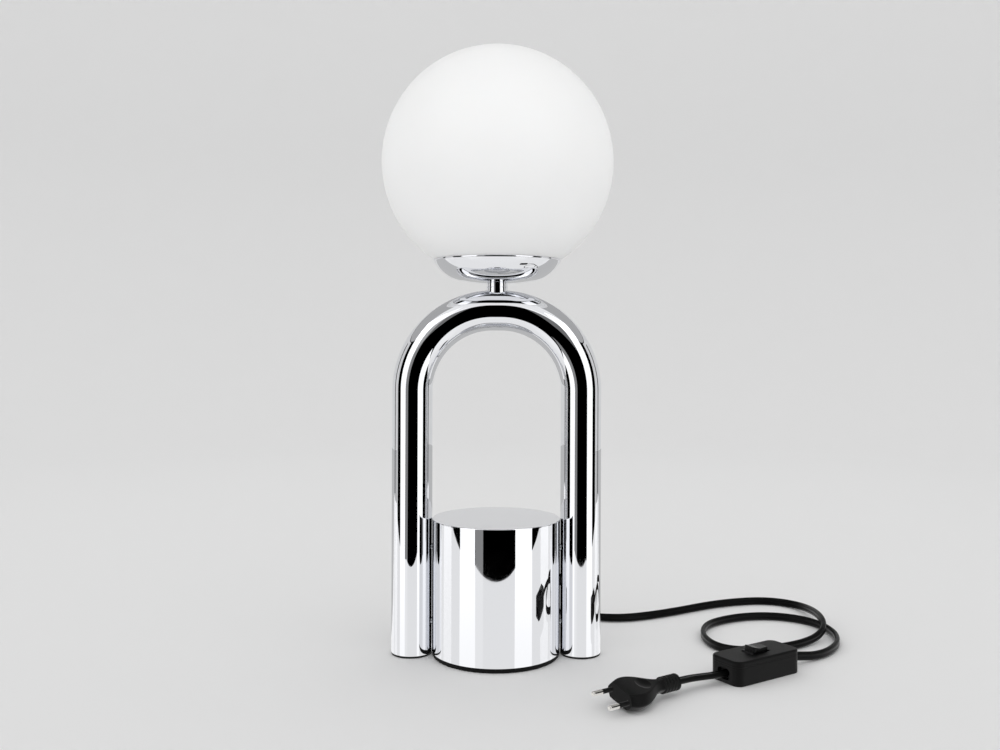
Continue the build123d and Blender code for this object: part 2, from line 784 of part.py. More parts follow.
def switch_lower_case():
    case = switch_block(0, switch_seam_z)
    case = fillet(case.edges().group_by(Axis.Z)[0], switch_edge_r / 2)
    case -= switch_block(switch_wall, switch_seam_z + cut_over, switch_wall, switch_end_wall)
    for side in (-1, 1):
        case -= entry_hole(side)
    for place in column_places():
        case += place * disc(boss_column_d / 2, switch_wall, switch_seam_z)
        case -= place * disc(case_screw_d / 2 + slip_gap, -cut_over, switch_seam_z + cut_over)
        case -= place * disc(case_screw_head_d / 2 + slip_gap, -cut_over, case_screw_head_h + slip_gap)
    return case


axle_z = switch_h - axle_drop
window_l = 2 * (rocker_r + slip_gap)
window_w = rocker_w + 2 * slip_gap


def switch_upper_case():
    """Lid with the rocker's window, two ears for the axle and two screw columns."""
    top_low = switch_h - switch_wall
    lid = switch_block(switch_seam_z, switch_h)
    lid = fillet(lid.edges().group_by(Axis.Z)[-1], switch_edge_r)
    lid = chamfer(lid.edges().group_by(Axis.Z)[0], switch_seam_groove)
    lid -= switch_block(switch_seam_z - cut_over, top_low, switch_wall, switch_end_wall)
    for side in (-1, 1):
        ear_v = side * (window_w + ear_t) / 2
        lid += Pos(0, ear_v, axle_z - axle_d) * Box(
            2 * axle_d, ear_t, switch_h - axle_z + axle_d - touch_gap,
            align=(Align.CENTER, Align.CENTER, Align.MIN))
    lid -= Pos(0, 0, switch_h) * Box(window_l, window_w, 2 * axle_drop)
    axle_reach = window_w / 2 + ear_t + cut_over
    lid -= rod(axle_d / 2 + touch_gap, (0, -axle_reach, axle_z), (0, axle_reach, axle_z))
    for place in column_places():
        lid += place * disc(boss_column_d / 2, switch_seam_z + touch_gap, top_low + touch_gap)
        lid -= place * disc(case_screw_d / 2 + thread_gap, switch_seam_z - cut_over, top_low)
    return lid


def switch_axle():
    reach = window_w / 2 + ear_t
    return rod(axle_d / 2, (0, -reach, axle_z), (0, reach, axle_z))


def rocker_pivot():
    """Part of the rocker inside the case, with round ends about its axle."""
    skirt = radians(rocker_skirt)
    flush = asin(axle_drop / rocker_r)
    half_turn = radians(180)
    side_u = rocker_r * cos(skirt)
    side_h = rocker_r * sin(skirt)
    flush_u = rocker_r * cos(flush)
    outline = make_face([
        Polyline((-side_u, 0, side_h), (-side_u, 0, -touch_gap), (-axle_d, 0, -rocker_tail),
                 (axle_d, 0, -rocker_tail), (side_u, 0, -touch_gap), (side_u, 0, side_h)),
        arc((0, 0), rocker_r, skirt, flush),
        Line((flush_u, 0, axle_drop), (-flush_u, 0, axle_drop)),
        arc((0, 0), rocker_r, half_turn - flush, half_turn - skirt)])
    return extrude(outline, rocker_w / 2, both=True)


def rocker_button():
    """Part of the rocker above the case: two finger faces that slope to the middle."""
    half = rocker_l / 2
    top = axle_drop + rocker_rise
    block = extrude(Pos(0, 0, axle_drop - cut_over) * RectangleRounded(rocker_l, rocker_w, rocker_corner_r),
                    rocker_rise + 2 * cut_over, taper=rocker_taper)
    valley = Polyline((0, 0, top - rocker_dip), (half, 0, top), (half, 0, top + 2 * cut_over),
                      (-half, 0, top + 2 * cut_over), (-half, 0, top), close=True)
    block -= extrude(make_face(valley), rocker_w, both=True)
    finger_faces = [face for face in block.faces() if face.normal_at().Z > cos(radians(rocker_skirt))]
    rim = [edge for face in finger_faces for edge in face.edges() if abs(edge.center().X) > touch_gap]
    return fillet(rim, rocker_edge_r)


def switch_rocker():
    """Rocker tipped to one side on its axle."""
    body = rocker_pivot() + rocker_button()
    body -= rod(axle_d / 2 + axle_fit, (0, -rocker_w, 0), (0, rocker_w, 0))
    return Pos(0, 0, axle_z) * Rot(0, rocker_throw, 0) * body


def switch_contacts():
    """Two brass strips on the floor of the case, each with an upturned blade under the rocker."""
    strips = []
    for side in (-1, 1):
        strip = Pos(side * contact_strip_u, 0, switch_wall) * Box(
            contact_strip_l, contact_strip_w, contact_strip_t, align=(Align.CENTER, Align.CENTER, Align.MIN))
        blade_u = side * (contact_strip_u - contact_strip_l / 2 + contact_strip_t / 2)
        blade = Pos(blade_u, 0, switch_wall) * Box(
            contact_strip_t, contact_strip_w, contact_blade_h, align=(Align.CENTER, Align.CENTER, Align.MIN))
        strips.append(strip + blade)
    return Compound(children=strips)


def switch_screws():
    screw = disc(case_screw_head_d / 2, slip_gap, case_screw_head_h + slip_gap)
    screw += disc(case_screw_d / 2, slip_gap, switch_h - switch_wall - slip_gap)
    return Compound(children=[place * screw for place in column_places()])


# Plug, modelled along X from the end of its strain relief to its pins


def plug_place():
    """The plug lies in line with the last run of its lead, rolled over onto one edge."""
    end = Vector(*lead_route[-1])
    run = end - Vector(*lead_route[-2])
    heading = run_heading(lead_route[-2], lead_route[-1])
    lift = degrees(asin(run.Z / run.length))
    back = run.normalized() * plug_grip
    return Pos(*(end - back)) * Rot(0, 0, heading) * Rot(0, -lift, 0) * Rot(-plug_roll, 0, 0)


def plug_section(along, width, thickness):
    """Flat hexagon with rounded corners across the plug."""
    tip = width / 2
    flat = tip - plug_bevel_share * thickness
    half = thickness / 2
    corners = [(tip, 0), (flat, half), (-flat, half), (-tip, 0), (-flat, -half), (flat, -half)]
    outline = make_face(Polyline(*corners, close=True))
    outline = fillet(outline.vertices(), plug_corner_share * thickness)
    return Plane(origin=(along, 0, 0), x_dir=(0, 1, 0), z_dir=(1, 0, 0)) * outline


def plug_body():
    """Moulded body lofted from a slim neck to a flat face, with finger dimples and a strain relief."""
    stations = [plug_root, plug_neck, plug_shoulder, plug_waist, plug_face]
    body = loft([plug_section(*station) for station in stations])
    dimple_along, _, dimple_t = plug_shoulder
    for side in (-1, 1):
        body -= Pos(dimple_along, 0, side * (dimple_t / 2 + dimple_r - dimple_depth)) * Sphere(dimple_r)
    relief = rod(relief_d / 2, (0, 0, 0), (relief_l + cut_over, 0, 0))
    for step in range(relief_groove_count):
        low = relief_groove_start + relief_groove_pitch * step
        groove = rod(relief_d, (low, 0, 0), (low + relief_groove_w, 0, 0))
        relief -= groove - rod(relief_d / 2 - relief_groove_depth, (0, 0, 0), (relief_l, 0, 0))
    body += relief
    body -= rod(cord_d / 2 + cord_gap, (-cut_over, 0, 0), (plug_grip + cord_gap, 0, 0))
    for side in (-1, 1):
        pin_y = side * pin_spacing / 2
        mouth = (plug_l + cut_over, pin_y, 0)
        sleeve_hole = rod(sleeve_d / 2 + touch_gap, (plug_l - sleeve_root, pin_y, 0), mouth)
        core_hole = rod(sleeve_core_d / 2 + touch_gap, (plug_l - pin_root, pin_y, 0), (plug_l, pin_y, 0))
        body -= sleeve_hole + core_hole
    return body


def plug_pin(side):
    pin_y = side * pin_spacing / 2
    tip_x = plug_l + pin_len
    tip = rod(pin_d / 2, (plug_l + sleeve_len, pin_y, 0), (tip_x, pin_y, 0))
    tip = fillet(tip.edges().sort_by(Axis.X)[-1], pin_tip_r)
    return tip + rod(sleeve_core_d / 2, (plug_l - pin_root, pin_y, 0), (tip_x - pin_tip_r, pin_y, 0))


def pin_sleeve(side):
    pin_y = side * pin_spacing / 2
    low = (plug_l - sleeve_root, pin_y, 0)
    high = (plug_l + sleeve_len - touch_gap, pin_y, 0)
    return rod(sleeve_d / 2, low, high) - rod(sleeve_core_d / 2 + touch_gap, low, high)


def plug_pins():
    return Compound(children=[plug_pin(side) for side in (-1, 1)])


def pin_sleeves():
    return Compound(children=[pin_sleeve(side) for side in (-1, 1)])


os.makedirs("parts", exist_ok=True)
switch_at = switch_place()
plug_at = plug_place()
nodes = {
    "drum_shell": drum_shell(),
    "base_ring": base_ring(),
    "base_plate": base_plate(),
    "base_screws": base_screws(),
    "base_pad": base_pad(),
    "counterweight": counterweight(),
    "weight_bolt": weight_bolt(),
    "terminal_block": terminal_block(),
    "cord_gland": cord_gland(),
    "cord_tail": cord_tail(),
    "arch_tube": arch_tube(),
    "left_leg_foot": leg_foot(-1),
    "right_leg_foot": leg_foot(1),
    "leg_bolts": leg_bolts(),
    "leg_rivet_nuts": leg_rivet_nuts(),
    "wire_bush": wire_bush(),
    "inner_lead": inner_lead(),
    "arch_boss": arch_boss(),
    "stem_collar": stem_collar(),
    "threaded_nipple": threaded_nipple(),
    "globe_cup": globe_cup(),
    "cup_washer": cup_washer(),
    "nipple_lock_nut": nipple_lock_nut(),
    "gallery_ring": gallery_ring(),
    "glass_globe": glass_globe(),
    "globe_gasket": globe_gasket(),
    "lampholder_base": lampholder_base(),
    "lampholder_contact_block": lampholder_contact_block(),
    "lampholder_contact": lampholder_contact(),
    "lampholder_screw_shell": lampholder_screw_shell(),
    "lampholder_sleeve": lampholder_sleeve(),
    "bulb_contact": bulb_contact(),
    "bulb_insulator": bulb_insulator(),
    "bulb_cap": bulb_cap(),
    "bulb_glass": bulb_glass(),
    "supply_cord": cord("supply_cord", supply_route),
    "plug_lead": cord("plug_lead", lead_route),
    "switch_lower_case": switch_at * switch_lower_case(),
    "switch_upper_case": switch_at * switch_upper_case(),
    "switch_rocker": switch_at * switch_rocker(),
    "switch_axle": switch_at * switch_axle(),
    "switch_contacts": switch_at * switch_contacts(),
    "switch_screws": switch_at * switch_screws(),
    "plug_body": plug_at * plug_body(),
    "plug_pins": plug_at * plug_pins(),
    "pin_sleeves": plug_at * pin_sleeves(),
}
for name, shape in nodes.items():
    export_step(shape, f"parts/{name}.step")
print("rim", round(rim_z, 2), "globe centre", round(globe_z, 2), "top", round(globe_z + globe_r, 2))
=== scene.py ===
# %% [markdown]
# # A chrome table lamp with an opal globe
# An arch of bright tube clasps a weighted drum, and a spun cup on top of the arch carries a glass
# globe. The drawn solids arrive as a fixed frame, in metres, with +Z up. This lesson keeps every
# piece where the frame has it and gives it the surface that the eye expects.

import json
import math

import bmesh
import bpy
from mathutils import Matrix, Vector


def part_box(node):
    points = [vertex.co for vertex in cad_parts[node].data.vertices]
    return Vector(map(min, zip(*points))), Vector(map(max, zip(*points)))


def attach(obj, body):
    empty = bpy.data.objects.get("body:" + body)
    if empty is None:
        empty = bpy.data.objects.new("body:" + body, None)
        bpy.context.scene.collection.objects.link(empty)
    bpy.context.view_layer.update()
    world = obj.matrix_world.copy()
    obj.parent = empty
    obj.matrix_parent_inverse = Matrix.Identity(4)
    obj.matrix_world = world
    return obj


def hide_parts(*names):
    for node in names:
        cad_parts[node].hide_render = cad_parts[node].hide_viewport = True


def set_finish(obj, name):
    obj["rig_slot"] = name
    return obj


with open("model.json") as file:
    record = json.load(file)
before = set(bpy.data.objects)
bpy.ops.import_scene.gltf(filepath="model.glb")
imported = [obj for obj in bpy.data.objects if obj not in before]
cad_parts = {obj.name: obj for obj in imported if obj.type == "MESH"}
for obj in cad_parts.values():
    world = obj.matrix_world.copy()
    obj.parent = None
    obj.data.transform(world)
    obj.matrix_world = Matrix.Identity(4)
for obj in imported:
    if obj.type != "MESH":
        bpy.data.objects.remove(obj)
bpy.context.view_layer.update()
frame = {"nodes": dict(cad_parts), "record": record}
scene = bpy.context.scene
MM = 0.001

# %% [markdown]
# ## Camera
# The picture was taken level, a little under a metre away, with the lens at half the lamp's height.
# A level camera keeps uprights parallel. The lamp then sits low in the frame, so the frame is
# shifted down, as a view camera does by lowering its front, instead of tilting the lens.

# %% Place the camera
photo_width = 1000
photo_height = 750
level_row = 340.8           # the picture's row at the height of the lens
field_px = 1000             # focal length, in pixels of the picture
camera_place = Vector((0.00267, -0.8686, 0.2711))
camera_roll = 0.0038

camera_data = bpy.data.cameras.new("camera")
camera_data.sensor_width = 36
camera_data.lens = camera_data.sensor_width * field_px / photo_width
camera_data.shift_y = (level_row - photo_height / 2) / photo_width
camera = bpy.data.objects.new("camera", camera_data)
level = Matrix.Rotation(math.radians(90), 4, "X")
camera.matrix_world = Matrix.Translation(camera_place) @ level @ Matrix.Rotation(camera_roll, 4, "Z")
scene.collection.objects.link(camera)
scene.camera = camera
print("lens", round(camera_data.lens, 2), "shift", round(camera_data.shift_y, 4))

# %% [markdown]
# ## Skins over rings
# Nearly every piece here is a row of rings: a turned cup is one circle for each point of its
# outline, a bent tube is one circle for each step of its bend. One helper lays quads from ring to
# ring, so all the bright pieces get even, fine faces. A mirror finish shows every uneven face.

# %% Make a mesh from rings
weld = 1e-7
crease = math.radians(35)   # edges that bend more than this stay crisp


def skin(name, rings, ends):
    """Quads from ring to ring. Ends are capped, joined to each other, or left to close in a point."""
    build = bmesh.new()
    rows = [[build.verts.new(point) for point in ring] for ring in rings]
    following = rows[1:] + rows[:1] if ends == "joined" else rows[1:]
    for low, high in zip(rows, following):
        for here in range(len(low)):
            side = (here + 1) % len(low)
            build.faces.new((low[here], low[side], high[side], high[here]))
    if ends == "capped":
        build.faces.new(rows[0])
        build.faces.new(rows[-1])
    bmesh.ops.remove_doubles(build, verts=build.verts, dist=weld)
    bmesh.ops.recalc_face_normals(build, faces=build.faces)
    for face in build.faces:
        face.smooth = True
    mesh = bpy.data.meshes.new(name)
    build.to_mesh(mesh)
    build.free()
    mesh.set_sharp_from_angle(angle=crease)
    return mesh


def piece(name, mesh, body, slot, *nodes):
    """Puts a mesh in the scene as a piece of the lamp that stands for these nodes."""
    made = bpy.data.objects.new(name, mesh)
    scene.collection.objects.link(made)
    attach(made, body)
    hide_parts(*nodes)
    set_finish(made, slot)
    print(name, len(mesh.polygons), "faces")
    return made


# %% [markdown]
# ## The cord
# A table lamp's flex is flat: two cores side by side in one sheath, with a shallow groove between
# them. It leaves the drum and the plug lying flat, and twists on to its edge over the floor, because
# it was wound on its flat side. The route's points pull a NURBS line into one smooth curve, and the
# section follows the points of that line. A round bevel on the curve would be quicker, but it can't
# be flat, and it can't twist where the real one does.

# %% Draw the flex
flex_width = 7.6 * MM
flex_thickness = 4.4 * MM
flex_groove = 0.35 * MM
flex_arc_steps = 9
groove_steps = 6
route_steps = 10

supply_route = [
    (0, 75.4, 20), (0, 93, 20), (8, 110.5, 16), (25, 121, 10), (47.5, 121, 5.9), (76, 109.5, 3.9),
    (108, 96, 3.9), (139.5, 101, 3.9), (182.5, 124.7, 3.9), (205.4, 140, 3.9), (228, 152, 3.9),
    (250.5, 160, 3.9), (270, 163.5, 3.9), (287, 160.5, 3.9), (300, 151, 4.1), (307, 138, 4.9),
    (309, 120, 7), (307.5, 97.5, 10.2), (305.4, 74.5, 12.3), (303.5, 58.5, 11.8), (300, 46, 9.4),
    (293, 36.5, 6.4), (282, 26, 4.4), (264, 12.5, 3.9), (240, 1.5, 3.9), (219, -3.6, 3.9),
    (206, -2.2, 3.9), (196.5, 4.5, 3.9), (191.3, 14.5, 3.9), (188.8, 26.5, 3.9), (188.4, 39, 3.9),
    (190.4, 52, 3.9), (195, 66, 3.9), (203, 79, 3.9), (217, 91, 3.9), (236, 101.5, 3.9), (255, 106, 3.9),
    (271.5, 105, 3.9), (285, 99.8, 3.9), (295, 92.5, 3.9), (302.2, 83, 3.9), (307.5, 71, 3.9),
    (310, 55, 3.9), (309, 38, 3.9), (303.5, 19.5, 3.9), (295, 4.5, 3.9), (283, -9.5, 3.9),
    (271, -18, 4.2), (261, -23.6, 5.7), (249.6, -29.5, 7.6), (236.2, -38.2, 7.6),
]
lead_route = [(187.1, -70, 7.6), (174.5, -78.2, 7.6), (162.5, -84.9, 8.5), (149.3, -92.1, 9.3),
              (134.4, -103, 9.6)]


def smooth_line(route):
    """Points along the NURBS line that a route's points pull on."""
    data = bpy.data.curves.new("route", "CURVE")
    data.dimensions = "3D"
    line = data.splines.new("NURBS")
    line.points.add(len(route) - 1)
    for point, place in zip(line.points, route):
        point.co = (*(Vector(place) * MM), 1)
    line.order_u = 3
    line.use_endpoint_u = True
    line.resolution_u = route_steps
    holder = bpy.data.objects.new("route", data)
    mesh = bpy.data.meshes.new_from_object(holder)
    points = [vertex.co.copy() for vertex in mesh.vertices]
    bpy.data.objects.remove(holder)
    bpy.data.curves.remove(data)
    bpy.data.meshes.remove(mesh)
    return points


def flex_section():
    """Outline of the flex as (across, through) pairs: two half circles joined by grooved sides."""
    radius = flex_thickness / 2
    straight = flex_width / 2 - radius
    outline = []
    for side in (1, -1):
        for step in range(flex_arc_steps):
            turn = math.radians(-90 + 180 * step / (flex_arc_steps - 1))
            outline.append((side * (straight + radius * math.cos(turn)), side * radius * math.sin(turn)))
        for step in range(1, groove_steps):
            share = step / groove_steps
            dip = flex_groove * math.sin(math.pi * share) ** 2
            outline.append((side * straight * (1 - 2 * share), side * (radius - dip)))
    return outline


def flex_mesh(name, points, upright):
    """Flat tube along points. upright(distance) is 0 where it lies flat and 1 where it is on edge."""
    section = flex_section()
    rings = []
    gone = 0.0
    for index, point in enumerate(points):
        before = points[max(index - 1, 0)]
        after = points[min(index + 1, len(points) - 1)]
        ahead = (after - before).normalized()
        level_side = Vector((-ahead.y, ahead.x, 0)).normalized()
        over = ahead.cross(level_side)
        gone += (point - before).length
        turn = upright(gone) * math.pi / 2
        across = level_side * math.cos(turn) + over * math.sin(turn)
        through = over * math.cos(turn) - level_side * math.sin(turn)
        rings.append([point + across * a + through * t for a, t in section])
    return skin(name, rings, "capped")


def ease(value, start, end):
    """Runs smoothly from 0 at start to 1 at end."""
    share = min(max((value - start) / (end - start), 0), 1)
    return share * share * (3 - 2 * share)


supply_line = smooth_line(supply_route)
lead_line = smooth_line(lead_route)
twist_start = 0.03          # metres of flex from the drum
twist_end = 0.24


def supply_upright(gone):
    return ease(gone, twist_start, twist_end)


supply_flex = piece("supply_flex", flex_mesh("supply_flex", supply_line, supply_upright), "lamp",
                    "black_cord_sheath", "supply_cord")
plug_flex = piece("plug_flex", flex_mesh("plug_flex", lead_line, lambda gone: 0), "lamp",
                  "black_cord_sheath", "plug_lead")
plug_pieces = [frame["nodes"][node] for node in ("plug_body", "plug_pins", "pin_sleeves")]

# %% [markdown]
# ## Turned and bent pieces
# The drum, cup, collar and globe are turned about the lamp's axis, so each is an outline of arcs
# and straight lines. The arch is one tube bent twice. Their sizes are read from the frame's boxes,
# and only what a box can't tell, such as a wall or an edge radius, is written here.

# %% Turn outlines about the axis
around_steps = 256


def arc(center, radius, start, end, steps):
    """Points (radius, height) on an arc between two angles in degrees, counted from outward to up."""
    angles = [math.radians(start + (end - start) * step / steps) for step in range(steps + 1)]
    return [(center[0] + radius * math.cos(a), center[1] + radius * math.sin(a)) for a in angles]


def circle(radius, height, steps=around_steps):
    turns = [2 * math.pi * step / steps for step in range(steps)]
    return [Vector((radius * math.cos(t), radius * math.sin(t), height)) for t in turns]


def turned(name, outline, ends):
    return skin(name, [circle(radius, height) for radius, height in outline], ends)


# %% [markdown]
# The drum is a deep-drawn shell: side and top in one sheet, with a crisp but not sharp top edge.
# Smooth shading leans a flat face's normals over towards a round edge beside it, and a mirror shows
# that as a bent reflection. A narrow ring on each side of the edge keeps the lean inside the ring.

# %% Drum
drum_low, drum_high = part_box("drum_shell")
drum_r = drum_high.x
drum_wall = 1.2 * MM
drum_edge = 0.6 * MM
drum_guard = 0.5 * MM
edge_steps = 6

edge_r = drum_r - drum_edge
edge_z = drum_high.z - drum_edge
drum_outline = [
    (0, drum_high.z), (edge_r - drum_guard, drum_high.z),
    *arc((edge_r, edge_z), drum_edge, 90, 0, edge_steps),
    (drum_r, edge_z - drum_guard), (drum_r, drum_low.z),
    (drum_r - drum_wall, drum_low.z), (drum_r - drum_wall, drum_high.z - drum_wall),
    (0, drum_high.z - drum_wall)]
drum = piece("drum", turned("drum", drum_outline, "pointed"), "lamp", "polished_chrome", "drum_shell")

# %% [markdown]
# The arch is two straight legs, two quarter bends and a short level run between them. The legs have
# guard rings under the bends, for the same reason as the drum.

# %% Arch
arch_low, arch_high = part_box("arch_tube")
tube_r = arch_high.y
tube_wall = 1.5 * MM
bend_r = 69.5 * MM
bend_guard = 1.5 * MM
bend_steps = 64
tube_steps = 128
leg_x = arch_high.x - tube_r
spring_z = arch_high.z - tube_r - bend_r
bend_x = leg_x - bend_r


def arch_line():
    """Places and headings along the arch's axis, from the left foot to the right one."""
    up = Vector((0, 0, 1))
    stations = [(Vector((-leg_x, 0, height)), up) for height in (arch_low.z, spring_z - bend_guard)]
    for side, start in ((-1, 180), (1, 90)):
        for step in range(bend_steps + 1):
            turn = math.radians(start - 90 * step / bend_steps)
            outward = Vector((math.cos(turn), 0, math.sin(turn)))
            heading = Vector((math.sin(turn), 0, -math.cos(turn)))
            stations.append((Vector((side * bend_x, 0, spring_z)) + outward * bend_r, heading))
    stations += [(Vector((leg_x, 0, height)), -up) for height in (spring_z - bend_guard, arch_low.z)]
    return stations


def tube_ring(place, heading, radius):
    inward = heading.cross(Vector((0, 1, 0)))
    turns = [2 * math.pi * step / tube_steps for step in range(tube_steps)]
    return [place + radius * (math.cos(t) * inward + math.sin(t) * Vector((0, 1, 0))) for t in turns]


outside = [tube_ring(place, heading, tube_r) for place, heading in arch_line()]
bore = [tube_ring(place, heading, tube_r - tube_wall) for place, heading in reversed(arch_line())]
arch = piece("arch", skin("arch", outside + bore, "joined"), "lamp", "polished_chrome", "arch_tube")

# %% [markdown]
# The stem is two short rings: a boss coped to the tube, and a collar under the cup. A small chamfer
# on each makes the dark groove between them.

# %% Boss and collar
boss_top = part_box("arch_boss")[1].z
collar_low, collar_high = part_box("stem_collar")
stem_r = collar_high.x
stem_bore = 5.3 * MM
stem_chamfer = 0.4 * MM


def on_arch(point):
    """The point moved straight down or up on to the top of the arch."""
    reach = bend_r + math.sqrt(tube_r ** 2 - point.y ** 2)
    past_center = max(abs(point.x) - bend_x, 0)
    return Vector((point.x, point.y, spring_z + math.sqrt(reach ** 2 - past_center ** 2)))


boss_rings = [
    [on_arch(point) for point in circle(stem_bore, 0)], [on_arch(point) for point in circle(stem_r, 0)],
    circle(stem_r, boss_top - stem_chamfer), circle(stem_r - stem_chamfer, boss_top),
    circle(stem_bore, boss_top)]
boss_mesh = skin("stem_boss", boss_rings, "joined")
boss = piece("stem_boss", boss_mesh, "lamp", "polished_chrome", "arch_boss")
collar_outline = [
    (stem_bore, collar_low.z), (stem_r - stem_chamfer, collar_low.z),
    (stem_r, collar_low.z + stem_chamfer), (stem_r, collar_high.z), (stem_bore, collar_high.z)]
collar_mesh = turned("collar", collar_outline, "joined")
collar = piece("collar", collar_mesh, "lamp", "polished_chrome", "stem_collar")

# %% [markdown]
# The cup is spun from sheet: a flat seat on the stem, a shallow dish and a wide round shoulder. The
# spinner's last pass curls the lip upright and rounds its edge, so that it can't scratch the glass.
# The upright lip faces the dark side of the room, and so it draws a thin dark line under the globe.

# %% Cup
cup_low, cup_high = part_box("globe_cup")
cup_wall = 0.8 * MM
dish_r = 175 * MM
shoulder_r = 34 * MM
seat_r = 12 * MM
lip_angle = 26.0            # how far the shoulder would still face down at the rim, without the curl
curl_r = 1.8 * MM
curl_end = 10.0
shoulder_steps = 48
dish_steps = 32
curl_steps = 12
roll_steps = 10
shoulder_z = cup_high.z + shoulder_r * math.sin(math.radians(lip_angle))
roll_rise = cup_wall / 2 + (curl_r - cup_wall / 2) * math.sin(math.radians(curl_end))
curl_angle = math.degrees(math.asin((shoulder_z - cup_high.z + roll_rise) / (shoulder_r - curl_r)))
dish_z = cup_low.z + math.sqrt(dish_r ** 2 - seat_r ** 2)
shoulder_x = math.sqrt((dish_r - shoulder_r) ** 2 - (dish_z - shoulder_z) ** 2)
meet = math.degrees(math.asin(shoulder_x / (dish_r - shoulder_r)))


def beside(center, distance, angle):
    """The point (radius, height) at a distance from a centre, at an angle from outward to up."""
    return arc(center, distance, angle, angle, 1)[0]


curl_center = beside((shoulder_x, shoulder_z), shoulder_r - curl_r, -curl_angle)
roll_center = beside(curl_center, curl_r - cup_wall / 2, curl_end)


def cup_side(inset):
    """The cup's outline from its seat to the end of the curl, moved in by an inset."""
    floor_z = cup_low.z + inset
    floor = math.degrees(math.acos((dish_z - floor_z) / (dish_r - inset)))
    return [
        (stem_bore, floor_z),
        *arc((0, dish_z), dish_r - inset, floor - 90, meet - 90, dish_steps),
        *arc((shoulder_x, shoulder_z), shoulder_r - inset, meet - 90, -curl_angle, shoulder_steps)[1:],
        *arc(curl_center, curl_r - inset, -curl_angle, curl_end, curl_steps)[1:]]


rolled_rim = arc(roll_center, cup_wall / 2, curl_end, 180 + curl_end, roll_steps)[1:-1]
cup_outline = cup_side(0) + rolled_rim + list(reversed(cup_side(cup_wall)))
cup = piece("cup", turned("cup", cup_outline, "joined"), "lamp", "polished_chrome", "globe_cup")

# %% [markdown]
# The globe is blown opal glass with a short neck that screws into the cup.

# %% Globe
globe_low, globe_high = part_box("glass_globe")
globe_r = globe_high.x
globe_z = globe_high.z - globe_r
glass = 3 * MM
neck_r = 41 * MM
globe_steps = 96


def globe_side(radius, neck):
    """Outline from the top of the globe down to the end of its neck."""
    low = -math.degrees(math.acos(neck / radius))
    return [*arc((0, globe_z), radius, 90, low, globe_steps), (neck, globe_low.z)]


globe_outline = globe_side(globe_r, neck_r) + list(reversed(globe_side(globe_r - glass, neck_r - glass)))
globe = piece("globe", turned("globe", globe_outline, "pointed"), "globe", "opal_glass", "glass_globe")

# %% [markdown]
# ## Finishes
# Each finish starts from the real material. Colours are written as a paint program shows them, in
# sRGB, and one function turns them into the linear light that shaders reckon with. Patterns are
# sized in millimetres: the noise texture has about one cloud per unit, and a unit is a metre.

# %% Helpers for the finishes


def srgb(text):
    """An sRGB hex colour as the linear colour that a shader takes."""
    values = [int(text[place:place + 2], 16) / 255 for place in (1, 3, 5)]
    return (*[v / 12.92 if v <= 0.04045 else ((v + 0.055) / 1.055) ** 2.4 for v in values], 1)


def per_metre(size_mm):
    """Texture scale that gives features of this size."""
    return 1 / (size_mm * MM)


def add_node(tree, kind, settings=None, links=None):
    """Adds a node, sets its sockets or fields, and links its inputs to other nodes' outputs."""
    node = tree.nodes.new(kind)
    for name, value in (settings or {}).items():
        if name in node.inputs:
            node.inputs[name].default_value = value
        else:
            setattr(node, name, value)
    for name, source in (links or {}).items():
        tree.links.new(source, node.inputs[name])
    return node


def start_finish(name):
    """A new material and its empty node tree."""
    material = bpy.data.materials.new(name)
    material.use_nodes = True
    material.node_tree.nodes.clear()
    return material, material.node_tree


def noise(tree, size_mm, detail):
    """Cloudy pattern with features of this size, fixed to the piece, that runs from 0 to 1."""
    place = add_node(tree, "ShaderNodeTexCoord").outputs["Object"]
    settings = {"Scale": per_metre(size_mm), "Detail": detail}
    return add_node(tree, "ShaderNodeTexNoise", settings, {"Vector": place}).outputs["Fac"]


def spread(tree, pattern, low, high, start=0.0, end=1.0):
    """Stretches the part of a pattern from start to end over the values from low to high."""
    settings = {"From Min": start, "From Max": end, "To Min": low, "To Max": high}
    return add_node(tree, "ShaderNodeMapRange", settings, {"Value": pattern}).outputs["Result"]


def dents(tree, pattern, strength, depth_mm):
    """Surface normals that tilt as if the pattern were pressed into the piece."""
    settings = {"Strength": strength, "Distance": depth_mm * MM}
    return add_node(tree, "ShaderNodeBump", settings, {"Height": pattern}).outputs["Normal"]


def end_finish(tree, constants, links):
    """Adds the surface shader and the output that ends the tree."""
    shader = add_node(tree, "ShaderNodeBsdfPrincipled", constants, links)
    add_node(tree, "ShaderNodeOutputMaterial", None, {"Surface": shader.outputs["BSDF"]})


# %% [markdown]
# **Chrome** is a thin plate over polished steel. It is a mirror with a slightly cool grey, so the
# eye reads its form only from what it reflects. A cloth leaves a faint haze in places, and drawn
# tube is never quite true, so reflections waver a little.

# %% Polished chrome plate


def polished_chrome():
    material, tree = start_finish("polished_chrome_plate")
    haze = spread(tree, noise(tree, size_mm=22, detail=4), low=0.012, high=0.045, start=0.35, end=0.7)
    waver = dents(tree, noise(tree, size_mm=30, detail=1), strength=0.25, depth_mm=0.1)
    end_finish(tree, {"Base Color": srgb("#EDEEF1"), "Metallic": 1.0},
               {"Roughness": haze, "Normal": waver})
    return material


# %% [markdown]
# **Opal glass** scatters light inside, so it glows softly where light falls and has no hard shade.
# Its outside is etched to a satin: the gloss is wide and weak.

# %% Satin opal glass
glass_ior = 1.5


